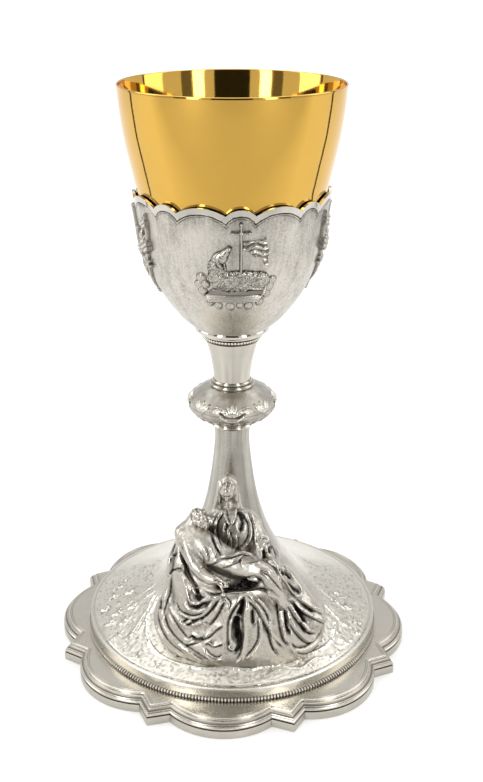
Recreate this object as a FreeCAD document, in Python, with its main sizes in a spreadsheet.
import FreeCAD, Part
import Sketcher
import math
import os
import re

# A footed altar chalice, in millimetres. It stands on the table at Z = 0 with its axis
# on Z and the figure group towards -Y. A tie rod clamps cup, calyx, stem and foot.

SIZES = {
    # foot outline: round lobes with a pointed barb between each two
    "lobe_count": 8,
    "lobe_margin": 15.0,
    "lobe_root_margin": 3.45,
    "barb_margin": 15.0,
    "barb_half_angle": 50.0,
    "barb_depth": 14.0,
    "foot_turn": -3.86,
    # foot rim, a channel strip with a turned-in seat
    "rim_height": 5.9,
    "rim_wall": 1.4,
    "rim_seat_width": 5.0,
    "rim_ledge_width": 6.5,
    # mouldings between rim and plate
    "step_height": 0.8,
    "step_inset": 0.9,
    "cove_height": 0.9,
    "cove_inset": 2.1,
    "moulding_bore_inset": 6.0,
    # lobed plate
    "plate_thickness": 1.2,
    "plate_inset": 2.8,
    "plate_lip": 4.0,
    # drum under the dome, and the milled wire at its foot
    "drum_radius": 71.0,
    "drum_wall": 1.4,
    "drum_height": 6.2,
    "wire_width": 1.4,
    "wire_height": 1.8,
    # foot shell: dome, trumpet and stem in one spinning
    "foot_wall": 1.2,
    "dome_low_rise": 7.8,
    "dome_low_radius": 52.0,
    "dome_high_rise": 8.2,
    "dome_high_radius": 38.0,
    "trumpet_low_rise": 19.0,
    "trumpet_low_radius": 22.2,
    "trumpet_mid_rise": 14.0,
    "trumpet_mid_radius": 15.9,
    "trumpet_high_rise": 20.0,
    "trumpet_high_radius": 10.8,
    "stem_rise": 23.0,
    "stem_waist_radius": 8.1,
    "stem_top_rise": 7.0,
    "stem_top_radius": 8.5,
    # clamp inside the stem
    "rod_radius": 3.0,
    "rod_clearance": 0.4,
    "rod_depth_in_boss": 6.5,
    "rod_tail": 3.0,
    "washer_radius": 6.6,
    "washer_thickness": 1.5,
    "nut_across_flats": 10.0,
    "nut_height": 5.0,
    # knop and its rings
    "stem_ring_radius": 9.6,
    "stem_ring_height": 2.0,
    "knop_wall": 1.0,
    "knop_foot_radius": 10.4,
    "knop_low_rise": 4.2,
    "knop_low_radius": 17.0,
    "knop_belly_rise": 5.3,
    "knop_radius": 20.4,
    "knop_shoulder_rise": 4.5,
    "knop_shoulder_radius": 18.0,
    "knop_top_rise": 4.0,
    "knop_top_radius": 11.5,
    "lower_ring_radius": 10.1,
    "lower_ring_height": 1.6,
    "upper_ring_radius": 8.9,
    "upper_ring_height": 1.5,
    # neck, bead ring and calyx collar
    "neck_wall": 1.2,
    "neck_height": 19.6,
    "neck_bottom_radius": 8.4,
    "neck_top_radius": 12.3,
    "bead_ring_radius": 13.4,
    "bead_ring_height": 3.0,
    "collar_neck_radius": 14.4,
    "collar_neck_height": 1.8,
    "collar_radius": 16.8,
    "collar_height": 2.2,
    # calyx, the outer cup with a scalloped rim
    "calyx_wall": 1.0,
    "calyx_foot_radius": 17.5,
    "calyx_foot_rise": 6.2,
    "calyx_bowl_radius": 24.1,
    "calyx_bowl_rise": 12.0,
    "calyx_side_radius": 32.5,
    "calyx_side_rise": 16.0,
    "calyx_flank_radius": 38.8,
    "calyx_flank_rise": 16.0,
    "calyx_upper_radius": 41.4,
    "calyx_crown_rise": 12.2,
    "calyx_crown_radius": 43.2,
    "scallop_count": 8,
    "scallop_turn": 4.85,
    "scallop_cusp_drop": 3.1,
    "large_scallop_radius": 19.7,
    "small_scallop_radius": 8.5,
    "small_scallop_drop": 0.4,
    # reliefs soldered on the calyx
    "relief_proud": 2.2,
    "relief_radius": 20.0,
    "relief_height": 34.0,
    "relief_turn": 4.85,
    # cup and its boss
    "cup_wall": 0.9,
    "cup_gap": 0.8,
    "cup_floor_radius": 14.0,
    "cup_lip_radius": 48.8,
    "cup_above_calyx": 43.7,
    "boss_flange_radius": 12.0,
    "boss_flange_height": 2.0,
    "boss_radius": 6.5,
    "boss_drop": 6.0,
    "boss_clearance": 0.3,
    # figure group cast in one piece
    "robe_spread": 36.0,
    "robe_top_radius": 17.0,
    "robe_height": 42.0,
    "robe_forward": 26.0,
    "robe_aside": 5.0,
    "lap_half_length": 27.0,
    "lap_half_depth": 14.0,
    "lap_half_height": 12.0,
    "lap_forward": 40.0,
    "lap_rise": 37.0,
    "torso_bottom_radius": 13.0,
    "torso_top_radius": 9.0,
    "torso_height": 31.0,
    "torso_forward": 22.0,
    "head_radius": 6.8,
    "head_rise": 74.0,
    "head_forward": 21.0,
    "limb_radius": 3.4,
    "body_radius": 6.4,
    # its two screws
    "screw_radius": 1.5,
    "screw_clearance": 0.2,
    "screw_grip": 7.0,
    "screw_head_radius": 2.8,
    "screw_head_height": 1.8,
    "screw_seat_slack": 0.15,
    "screw_spread": 20.0,
    # sizes that follow from others: lobes from the crown to where two of them meet
    "lobe_crown": "=drum_radius + lobe_margin",
    "lobe_root": "=drum_radius + lobe_root_margin",
    "lobe_centre": "=(lobe_crown^2 - lobe_root^2) / (2 * (lobe_crown - lobe_root * cos(180 / lobe_count)))",
    "lobe_radius": "=lobe_crown - lobe_centre",
    "barb_reach": "=drum_radius + barb_margin",
}

doc = FreeCAD.newDocument("chalice")
sheet = doc.addObject("Spreadsheet::Sheet", "Sizes")
for row, (name, size) in enumerate(SIZES.items(), start=1):
    sheet.set(f"A{row}", name)
    sheet.setAlias(f"B{row}", name)
    sheet.set(f"B{row}", str(size))
doc.recompute()


def bound(text):
    """A formula with each size name pointed at the sheet."""
    return re.sub(r"\b([a-z]+_[a-z_]+)\b", r"Sizes.\1", text)


def amount(text):
    """The number that a formula of size names gives now."""
    return float(sheet.evalExpression(bound(text)))


def bind(thing, **fields):
    """Bind properties of an object to formulas of size names."""
    for field, text in fields.items():
        thing.setExpression(field, bound(text))
    return thing


def origin_plane(body, role):
    """One of a body's own three origin planes."""
    return next(plane for plane in body.Origin.OriginFeatures if plane.Role == role)


def new_body(name):
    body = doc.addObject("PartDesign::Body", name)
    body.Label = name
    return body


def new_sketch(body, name, role, lift="0"):
    """A sketch on one of the body's origin planes, raised along the plane's normal."""
    sketch = body.newObject("Sketcher::SketchObject", name)
    sketch.AttachmentSupport = [(origin_plane(body, role), "")]
    sketch.MapMode = "FlatFace"
    sketch.setExpression(".AttachmentOffset.Base.z", bound(lift))
    return sketch


def draw_outline(sketch, corners):
    """Draw a closed outline of lines and arcs, with each corner tied to the sheet.

    A corner is (across, up) or (across, up, swell): formulas for its place, and how far
    the edge to the next corner bulges out (or, below zero, in). Corners run with the
    inside on their left.
    """
    spots = [FreeCAD.Vector(amount(c[0]), amount(c[1]), 0) for c in corners]
    ends = []
    for i, corner in enumerate(corners):
        start, finish = spots[i], spots[(i + 1) % len(spots)]
        swell = corner[2] if len(corner) > 2 else 0
        if not swell:
            edge = sketch.addGeometry(Part.LineSegment(start, finish))
            ends.append((edge, 1, 2))
            continue
        along = finish - start
        outward = FreeCAD.Vector(along.y, -along.x, 0).normalize()
        middle = (start + finish) * 0.5 + outward * swell
        edge = sketch.addGeometry(Part.Arc(start, middle, finish))
        if sketch.getPoint(edge, 1).distanceToPoint(start) < 1e-4:
            ends.append((edge, 1, 2))
        else:
            ends.append((edge, 2, 1))
        nxt = corners[(i + 1) % len(corners)]
        chord = f"(({nxt[0]}) - ({corner[0]}))^2 + (({nxt[1]}) - ({corner[1]}))^2"
        bend = abs(swell)
        radius = f"(({chord}) / 4 + {bend}^2) / (2 * {bend})"
        tie = sketch.addConstraint(Sketcher.Constraint("Radius", edge, amount(radius)))
        sketch.setExpression(f"Constraints[{tie}]", bound(radius))
    for i, (corner, spot) in enumerate(zip(corners, spots)):
        edge, first, last = ends[i]
        following = ends[(i + 1) % len(ends)]
        sketch.addConstraint(Sketcher.Constraint("Coincident", edge, last, following[0], following[1]))
        for kind, text, place in (("DistanceX", corner[0], spot.x), ("DistanceY", corner[1], spot.y)):
            if text == "0":
                axis = -2 if kind == "DistanceX" else -1
                sketch.addConstraint(Sketcher.Constraint("PointOnObject", edge, first, axis))
                continue
            tie = sketch.addConstraint(Sketcher.Constraint(kind, -1, 1, edge, first, place))
            sketch.setExpression(f"Constraints[{tie}]", bound(text))


def turned(name, corners):
    """A body turned about Z from an outline of (radius, height, swell) corners."""
    body = new_body(name)
    sketch = new_sketch(body, name + "_outline", "XZ_Plane")
    draw_outline(sketch, corners)
    turning = body.newObject("PartDesign::Revolution", name + "_turning")
    turning.Profile = sketch
    turning.ReferenceAxis = (sketch, ["V_Axis"])
    turning.Angle = 360
    return body


def climb(base, steps):
    """Profile points from (radius, rise, swell, lean): each rise adds to the one before.

    The lean is the angle in degrees of the outward normal below the horizontal, and the
    swell belongs to the stretch up to the next point.
    """
    points = []
    height = base
    for radius, rise, swell, lean in steps:
        height = f"{height} + {rise}"
        points.append((radius, height, swell, lean))
    return points


def outside(points):
    """The profile's corners, from the bottom up."""
    return [(radius, height, swell) for radius, height, swell, lean in points]


def inside(points, wall):
    """The same profile set in by a wall, from the top down."""
    corners = []
    swells = [swell for radius, height, swell, lean in points]
    for i in range(len(points) - 1, -1, -1):
        radius, height, swell, lean = points[i]
        back = -swells[i - 1] if i > 0 else 0
        sideways = f"({radius}) - ({wall}) * {math.cos(math.radians(lean)):.4f}"
        upward = f"({height}) + ({wall}) * {math.sin(math.radians(lean)):.4f}"
        corners.append((sideways, upward, back))
    return corners


def combined(kind, name, **links):
    """A Part boolean with its label and its operands."""
    result = doc.addObject(kind, name)
    result.Label = name
    for link, value in links.items():
        setattr(result, link, value)
    return result


def cut(name, base, tool):
    return combined("Part::Cut", name, Base=base, Tool=tool)


def fuse(name, pieces):
    return combined("Part::MultiFuse", name, Shapes=pieces)


def common(name, pieces):
    return combined("Part::MultiCommon", name, Shapes=pieces)


def turn_about_axis(thing, degrees):
    """Turn a piece about Z by a formula's angle."""
    thing.Placement = FreeCAD.Placement(FreeCAD.Vector(), FreeCAD.Rotation(FreeCAD.Vector(0, 0, 1), degrees))
    return thing


def cylinder(name, radius, length, low="0"):
    """An upright cylinder that stands at a height."""
    piece = doc.addObject("Part::Cylinder", name)
    bind(piece, Radius=radius, Height=length)
    piece.setExpression(".Placement.Base.z", bound(low))
    return piece


def ring(name, bore, radius, low, height, swell=0):
    """A turned ring with a flat bottom and top; its rim may bulge."""
    top = f"{low} + {height}"
    return turned(name, [(bore, low), (radius, low, swell), (radius, top), (bore, top)])


# --- Foot -------------------------------------------------------------------------------

def lobed(name, inset, low, thickness):
    """A slab with the foot's outline, set in all round: a disc, a lobe and a barb, patterned."""
    body = new_body(name)
    disc = new_sketch(body, name + "_disc", "XY_Plane", low)
    circle = disc.addGeometry(Part.Circle(FreeCAD.Vector(), FreeCAD.Vector(0, 0, 1), amount("lobe_centre")))
    disc.addConstraint(Sketcher.Constraint("Coincident", circle, 3, -1, 1))
    tie = disc.addConstraint(Sketcher.Constraint("Radius", circle, amount("lobe_centre")))
    disc.setExpression(f"Constraints[{tie}]", bound("lobe_centre"))
    lobe = new_sketch(body, name + "_lobe", "XY_Plane", low)
    spot = FreeCAD.Vector(0, -amount("lobe_centre"), 0)
    round_radius = f"lobe_radius - ({inset})"
    circle = lobe.addGeometry(Part.Circle(spot, FreeCAD.Vector(0, 0, 1), amount(round_radius)))
    lobe.addConstraint(Sketcher.Constraint("PointOnObject", circle, 3, -2))
    tie = lobe.addConstraint(Sketcher.Constraint("DistanceY", -1, 1, circle, 3, spot.y))
    lobe.setExpression(f"Constraints[{tie}]", bound("-lobe_centre"))
    tie = lobe.addConstraint(Sketcher.Constraint("Radius", circle, amount(round_radius)))
    lobe.setExpression(f"Constraints[{tie}]", bound(round_radius))
    barb = new_sketch(body, name + "_barb", "XY_Plane", low)
    tip = f"(barb_reach - ({inset}) / sin(barb_half_angle))"
    half = "(barb_depth * tan(barb_half_angle))"
    side, front = "sin(180 / lobe_count)", "cos(180 / lobe_count)"
    draw_outline(barb, [
        (f"{tip} * {side}", f"-{tip} * {front}"),
        (f"({tip} - barb_depth) * {side} + {half} * {front}",
         f"-({tip} - barb_depth) * {front} + {half} * {side}"),
        (f"({tip} - barb_depth) * {side} - {half} * {front}",
         f"-({tip} - barb_depth) * {front} - {half} * {side}")])
    pads = []
    for sketch in (disc, lobe, barb):
        pad = body.newObject("PartDesign::Pad", sketch.Name + "_pad")
        pad.Profile = sketch
        bind(pad, Length=thickness)
        pads.append(pad)
    pattern = body.newObject("PartDesign::PolarPattern", name + "_round")
    pattern.Originals = pads[1:]
    pattern.Axis = (disc, ["N_Axis"])
    pattern.Angle = 360
    bind(pattern, Occurrences="lobe_count")
    body.Tip = pattern
    return turn_about_axis(body, amount("foot_turn"))


STEP_LOW = "rim_height"
COVE_LOW = f"{STEP_LOW} + step_height"
PLATE_LOW = f"{COVE_LOW} + cove_height"
DRUM_LOW = f"{PLATE_LOW} + plate_thickness"
DOME_LOW = f"{DRUM_LOW} + drum_height"
ROD_BORE = "rod_radius + rod_clearance"

rim_blank = lobed("rim_blank", "0", "0", "rim_height")
rim_channel = lobed("rim_channel", "rim_wall", "rim_wall", "rim_height - 2 * rim_wall")
rim_mouth = lobed("rim_mouth", "rim_seat_width", "0", "rim_height / 2")
rim_eye = lobed("rim_eye", "rim_ledge_width", "rim_height / 2", "rim_height / 2")
foot_rim = cut("foot_rim", rim_blank, fuse("rim_hollow", [rim_channel, rim_mouth, rim_eye]))

step_blank = lobed("step_blank", "step_inset", STEP_LOW, "step_height")
cove_blank = lobed("cove_blank", "cove_inset", COVE_LOW, "cove_height")
moulding_eye = lobed("moulding_eye", "moulding_bore_inset", STEP_LOW, "step_height + cove_height")
foot_moulding = cut("foot_moulding", fuse("moulding_blank", [step_blank, cove_blank]), moulding_eye)

plate_blank = lobed("plate_blank", "plate_inset", PLATE_LOW, "plate_thickness")
plate_eye = cylinder("plate_eye", "drum_radius - drum_wall - plate_lip", "plate_thickness", PLATE_LOW)
foot_plate = cut("foot_plate", plate_blank, plate_eye)

drum_band = ring("drum_band", "drum_radius - drum_wall", "drum_radius", DRUM_LOW, "drum_height")
milled_wire = ring("milled_wire", "drum_radius", "drum_radius + wire_width", DRUM_LOW, "wire_height", 0.5)

foot_profile = climb(DOME_LOW, [
    ("drum_radius", "0", -0.5, -75),
    ("dome_low_radius", "dome_low_rise", -0.35, -65),
    ("dome_high_radius", "dome_high_rise", -1.6, -52),
    ("trumpet_low_radius", "trumpet_low_rise", -0.7, -31),
    ("trumpet_mid_radius", "trumpet_mid_rise", -0.6, -18),
    ("trumpet_high_radius", "trumpet_high_rise", -0.5, -10),
    ("stem_waist_radius", "stem_rise", 0, -1)])
STEM_WAIST = foot_profile[-1][1]
STEM_TOP = f"{STEM_WAIST} + stem_top_rise"
SHOULDER = foot_profile[5][1]

hollow = inside(foot_profile[:6], "foot_wall")
foot_blank = turned("foot_blank", outside(foot_profile) + [
    ("stem_top_radius", STEM_TOP), (ROD_BORE, STEM_TOP), (ROD_BORE, SHOULDER),
    ("trumpet_high_radius - foot_wall", SHOULDER), *hollow[1:5],
    ("drum_radius - drum_wall", DOME_LOW)])
foot_form = turned("foot_form", outside(foot_profile) + [
    ("stem_top_radius", STEM_TOP), ("0", STEM_TOP), ("0", DOME_LOW)])

# --- Figure group, screwed to the dome from below ---------------------------------------


def placed(piece, base, direction=(0, 0, 1)):
    """Move a piece and aim its own Z."""
    turn = FreeCAD.Rotation(FreeCAD.Vector(0, 0, 1), FreeCAD.Vector(*direction))
    piece.Placement = FreeCAD.Placement(FreeCAD.Vector(*base), turn)
    return piece


def ellipsoid(name, radii, centre, direction=(0, 0, 1)):
    """An ellipsoid with its half sizes along its own Z, X and Y."""
    piece = doc.addObject("Part::Ellipsoid", name)
    bind(piece, Radius1=radii[0], Radius2=radii[1], Radius3=radii[2])
    return placed(piece, centre, direction)


def cone(name, low_radius, high_radius, height, base):
    piece = doc.addObject("Part::Cone", name)
    bind(piece, Radius1=low_radius, Radius2=high_radius, Height=height)
    return placed(piece, base)


def limb(name, radius, start, finish):
    """A round limb from one joint to the next, with a ball at its far end."""
    first, last = FreeCAD.Vector(*start), FreeCAD.Vector(*finish)
    shaft = doc.addObject("Part::Cylinder", name + "_shaft")
    bind(shaft, Radius=radius)
    shaft.Height = (last - first).Length
    placed(shaft, start, last - first)
    ball = doc.addObject("Part::Sphere", name + "_joint")
    bind(ball, Radius=radius)
    return [shaft, placed(ball, finish)]


# Joints of the resting body and of the drapery, from the middle of the lap: (x, y, z)
FROM_LAP = {
    "chest": (-8, 0, 17),
    "head": (-16, 8, 28),
    "shoulder": (-23, 4, 20),
    "elbow": (-14, -6, 8),
    "hip": (5, -4, 9),
    "knee": (14, -12, 11),
    "ankle": (22, -10, -4),
    "cloth": (29, 3, -6),
}
CHEST_AIM = (25, -10, -12)
VEIL_ASIDE = -2

ground = amount(DOME_LOW)
lap_top = ground + amount("lap_rise")
aside = amount("robe_aside")
lap_middle = (0, -amount("lap_forward"), lap_top)
joints = {name: tuple(sum(pair) for pair in zip(step, lap_middle)) for name, step in FROM_LAP.items()}
masses = [
    cone("robe", "robe_spread", "robe_top_radius", "robe_height",
         (aside, -amount("robe_forward"), ground)),
    ellipsoid("lap", ("lap_half_height", "lap_half_length", "lap_half_depth"),
              (aside, -amount("lap_forward"), lap_top)),
    cone("torso", "torso_bottom_radius", "torso_top_radius", "torso_height",
         (0, -amount("torso_forward"), lap_top)),
    ellipsoid("veiled_head", ("head_radius * 1.3", "head_radius", "head_radius"),
              (VEIL_ASIDE, -amount("head_forward"), ground + amount("head_rise"))),
    ellipsoid("resting_body", ("body_radius * 2.5", "body_radius", "body_radius"),
              joints["chest"], CHEST_AIM),
    ellipsoid("resting_head", ("head_radius", "head_radius * 0.9", "head_radius * 0.9"), joints["head"]),
    ellipsoid("gathered_cloth", ("limb_radius * 4", "limb_radius * 2", "limb_radius * 2"), joints["cloth"]),
    *limb("hanging_arm", "limb_radius", joints["shoulder"], joints["elbow"]),
    *limb("thigh", "limb_radius * 1.4", joints["hip"], joints["knee"]),
    *limb("shin", "limb_radius", joints["knee"], joints["ankle"])]


def screw_place(sign, along_axis):
    """A place on a screw's axis, which is square to the dome at its upper profile point."""
    lean = math.radians(-foot_profile[2][3])
    turn = math.radians(sign * amount("screw_spread"))
    out = amount("dome_high_radius") + along_axis * math.cos(lean)
    height = amount(foot_profile[2][1]) + along_axis * math.sin(lean)
    aim = (math.sin(turn) * math.cos(lean), -math.cos(turn) * math.cos(lean), math.sin(lean))
    return (math.sin(turn) * out, -math.cos(turn) * out, height), aim


screws, screw_holes = [], []
for side_name, sign in (("left", -1), ("right", 1)):
    head_face = -(amount("foot_wall") + amount("screw_seat_slack"))
    shank = doc.addObject("Part::Cylinder", side_name + "_screw_shank")
    bind(shank, Radius="screw_radius", Height="foot_wall + screw_seat_slack + screw_grip")
    placed(shank, *screw_place(sign, head_face))
    head = doc.addObject("Part::Cylinder", side_name + "_screw_head")
    bind(head, Radius="screw_head_radius", Height="screw_head_height")
    placed(head, *screw_place(sign, head_face - amount("screw_head_height")))
    screws += [shank, head]
    hole = doc.addObject("Part::Cylinder", side_name + "_screw_hole")
    bind(hole, Radius="screw_radius + screw_clearance", Height="foot_wall * 4")
    placed(hole, *screw_place(sign, -2 * amount("foot_wall")))
    screw_holes.append(hole)

figure_screws = fuse("figure_screws", screws)
foot_dome = cut("foot_dome", foot_blank, fuse("dome_holes", screw_holes))
group_blank = cut("group_blank", fuse("group_masses", masses), foot_form)
figure_group = cut("figure_group", group_blank, fuse("group_holes", [figure_screws, *screw_holes]))

# --- Stem: rings, knop and neck ----------------------------------------------------------

stem_ring = ring("stem_ring", ROD_BORE, "stem_ring_radius", STEM_TOP, "stem_ring_height", 0.6)
KNOP_LOW = f"{STEM_TOP} + stem_ring_height"
knop_lower_profile = climb(KNOP_LOW, [
    ("knop_foot_radius", "0", 0.3, 48),
    ("knop_low_radius", "knop_low_rise", 0.8, 42),
    ("knop_radius", "knop_belly_rise", 0, 0)])
EQUATOR = knop_lower_profile[-1][1]
knop_upper_profile = climb(EQUATOR, [
    ("knop_radius", "0", 0.6, 0),
    ("knop_shoulder_radius", "knop_shoulder_rise", 0.4, -50),
    ("knop_top_radius", "knop_top_rise", 0, -70)])
KNOP_TOP = knop_upper_profile[-1][1]
lower_hollow = inside(knop_lower_profile, "knop_wall")
upper_hollow = inside(knop_upper_profile, "knop_wall")
KNOP_FLOOR = f"{KNOP_LOW} + knop_wall"
KNOP_CEILING = f"{KNOP_TOP} - knop_wall"
knop_lower = turned("knop_lower", [(ROD_BORE, KNOP_LOW)] + outside(knop_lower_profile) + lower_hollow[:2] + [
    ("knop_foot_radius", KNOP_FLOOR), (ROD_BORE, KNOP_FLOOR)])
knop_upper = turned("knop_upper", outside(knop_upper_profile) + [
    (ROD_BORE, KNOP_TOP), (ROD_BORE, KNOP_CEILING), ("knop_top_radius", KNOP_CEILING), *upper_hollow[1:]])
knop_ring_lower = ring("knop_ring_lower", ROD_BORE, "lower_ring_radius", KNOP_TOP, "lower_ring_height", 0.4)
UPPER_RING_LOW = f"{KNOP_TOP} + lower_ring_height"
knop_ring_upper = ring("knop_ring_upper", ROD_BORE, "upper_ring_radius", UPPER_RING_LOW,
                       "upper_ring_height", 0.4)

NECK_LOW = f"{UPPER_RING_LOW} + upper_ring_height"
NECK_TOP = f"{NECK_LOW} + neck_height"
neck = turned("neck", [
    ("neck_bottom_radius - neck_wall", NECK_LOW), ("neck_bottom_radius", NECK_LOW, -0.2),
    ("neck_top_radius", NECK_TOP), ("neck_top_radius - neck_wall", NECK_TOP, 0.2)])
BOSS_BORE = "boss_radius + boss_clearance"
bead_ring = ring("bead_ring", BOSS_BORE, "bead_ring_radius", NECK_TOP, "bead_ring_height", 0.7)
COLLAR_LOW = f"{NECK_TOP} + bead_ring_height"
COLLAR_STEP = f"{COLLAR_LOW} + collar_neck_height"
CALYX_LOW = f"{COLLAR_STEP} + collar_height"
calyx_collar = turned("calyx_collar", [
    (BOSS_BORE, COLLAR_LOW), ("collar_neck_radius", COLLAR_LOW, -0.3),
    ("collar_radius", COLLAR_STEP, 0.3), ("collar_radius", CALYX_LOW), (BOSS_BORE, CALYX_LOW)])

# --- Calyx and its reliefs ---------------------------------------------------------------

calyx_profile = climb(CALYX_LOW, [
    ("calyx_foot_radius", "0", 0.3, 52),
    ("calyx_bowl_radius", "calyx_foot_rise", 0.9, 41),
    ("calyx_side_radius", "calyx_bowl_rise", 0.9, 26),
    ("calyx_flank_radius", "calyx_side_rise", 0.6, 13),
    ("calyx_upper_radius", "calyx_flank_rise", 0, 8),
    ("calyx_crown_radius", "calyx_crown_rise", 0, 8)])
CROWN = calyx_profile[-1][1]
CALYX_FLOOR = f"{CALYX_LOW} + calyx_wall"
calyx_hollow = inside(calyx_profile, "calyx_wall")
calyx_hollow[0] = ("calyx_crown_radius - calyx_wall", CROWN, 0)
calyx_blank = turned("calyx_blank", [(BOSS_BORE, CALYX_LOW)] + outside(calyx_profile)
                     + calyx_hollow[:-1] + [("calyx_foot_radius", CALYX_FLOOR), (BOSS_BORE, CALYX_FLOOR)])

band = cylinder("band_below_cusps", "calyx_crown_radius + relief_proud",
                f"{CROWN} - scallop_cusp_drop - ({CALYX_LOW})", CALYX_LOW)
scallops = [band]
scallop_pitch = 360 / amount("scallop_count")
for k in range(int(amount("scallop_count"))):
    for label, radius, top, phase in (
            ("small", "small_scallop_radius", f"{CROWN} - small_scallop_drop", 0),
            ("large", "large_scallop_radius", CROWN, 0.5)):
        bow = doc.addObject("Part::Cylinder", f"{label}_scallop_{k}")
        bind(bow, Radius=radius, Height="calyx_crown_radius + relief_proud")
        turn = math.radians(amount("scallop_turn") + (k + phase) * scallop_pitch)
        placed(bow, (0, 0, amount(f"{top} - {radius}")), (math.sin(turn), -math.cos(turn), 0))
        scallops.append(bow)
calyx = common("calyx", [calyx_blank, fuse("scalloped_edge", scallops)])

calyx_form = turned("calyx_form", outside(calyx_profile) + [("0", CROWN), ("0", CALYX_LOW)])
proud = [(f"{radius} + relief_proud", height, swell) for radius, height, swell, lean in calyx_profile]
relief_form = turned("relief_form", proud + [("0", CROWN), ("0", CALYX_LOW)])
relief_skin = cut("relief_skin", relief_form, calyx_form)
reliefs = []
for k, label in enumerate(("relief_lamb", "relief_right", "relief_back", "relief_left")):
    patch = doc.addObject("Part::Cylinder", label + "_outline")
    bind(patch, Radius="relief_radius", Height="calyx_crown_radius + 2 * relief_proud")
    turn = math.radians(amount("relief_turn") + 90 * k)
    placed(patch, (0, 0, amount(f"{CALYX_LOW} + relief_height")), (math.sin(turn), -math.cos(turn), 0))
    reliefs.append(common(label, [relief_skin, patch]))

# --- Cup, boss and the clamp -------------------------------------------------------------

BOSS_SEAT = CALYX_FLOOR
CUP_LOW = f"{BOSS_SEAT} + boss_flange_height"
CUP_FLOOR = f"{CUP_LOW} + cup_wall"
nested = inside(calyx_profile, "calyx_wall + cup_gap")[::-1]
swells = [swell for radius, height, swell, lean in calyx_profile]
LIP = f"{CROWN} + cup_above_calyx"
cup_profile = [(corner[0], corner[1], swells[i + 1], calyx_profile[i + 1][3])
               for i, corner in enumerate(nested[1:])]
cup_profile[-1] = ("calyx_crown_radius - calyx_wall - cup_gap", CROWN, 0.75, 8)
cup_profile.append(("cup_lip_radius", LIP, 0, 6))
cup_hollow = inside(cup_profile, "cup_wall")
cup_outside = outside(cup_profile)
cup_outside[-1] = ("cup_lip_radius", LIP, 0.3)
cup_hollow[0] = ("cup_lip_radius - cup_wall", LIP, -0.75)
cup = turned("cup", [("0", CUP_LOW), ("cup_floor_radius", CUP_LOW, 0.7)] + cup_outside + cup_hollow[:-1]
             + [(cup_hollow[-1][0], cup_hollow[-1][1], -0.7), ("cup_floor_radius", CUP_FLOOR),
                ("0", CUP_FLOOR)])

BOSS_TOP = CUP_LOW
BOSS_LOW = f"{CALYX_LOW} - boss_drop"
ROD_TOP = f"{BOSS_LOW} + rod_depth_in_boss"
cup_boss = turned("cup_boss", [
    ("0", ROD_TOP), ("rod_radius", ROD_TOP), ("rod_radius", BOSS_LOW), ("boss_radius", BOSS_LOW),
    ("boss_radius", BOSS_SEAT), ("boss_flange_radius", BOSS_SEAT), ("boss_flange_radius", BOSS_TOP),
    ("0", BOSS_TOP)])

WASHER_LOW = f"{SHOULDER} - washer_thickness"
NUT_LOW = f"{WASHER_LOW} - nut_height"
ROD_LOW = f"{NUT_LOW} - rod_tail"
clamp_washer = ring("clamp_washer", ROD_BORE, "washer_radius", WASHER_LOW, "washer_thickness")
tie_rod = cylinder("tie_rod", "rod_radius", f"{ROD_TOP} - ({ROD_LOW})", ROD_LOW)
nut_blank = doc.addObject("Part::Prism", "nut_blank")
nut_blank.Polygon = 6
bind(nut_blank, Circumradius="nut_across_flats / sqrt(3)", Height="nut_height")
nut_blank.setExpression(".Placement.Base.z", bound(NUT_LOW))
foot_nut = cut("foot_nut", nut_blank, cylinder("nut_thread", "rod_radius", "nut_height", NUT_LOW))

# --- Checks and files --------------------------------------------------------------------

NODES = [foot_rim, foot_moulding, foot_plate, drum_band, milled_wire, foot_dome, figure_group,
         figure_screws, stem_ring, knop_lower, knop_upper, knop_ring_lower, knop_ring_upper, neck,
         bead_ring, calyx_collar, calyx, *reliefs, cup, cup_boss, tie_rod, clamp_washer, foot_nut]

doc.recompute()
for thing in doc.Objects:
    if "Invalid" in thing.State or "Error" in thing.State:
        raise RuntimeError(f"{thing.Label} failed: {thing.State}")
for node in NODES:
    if node.Shape.isNull() or not node.Shape.isValid() or not node.Shape.Solids:
        raise RuntimeError(f"{node.Label} has no valid solid")

os.makedirs("parts", exist_ok=True)
for node in NODES:
    node.Shape.exportStep(f"parts/{node.Label}.step")
    box = node.Shape.BoundBox
    print(f"{node.Label}: {len(node.Shape.Solids)} solid(s), {node.Shape.Volume:.0f} mm3, "
          f"z {box.ZMin:.1f} to {box.ZMax:.1f}")
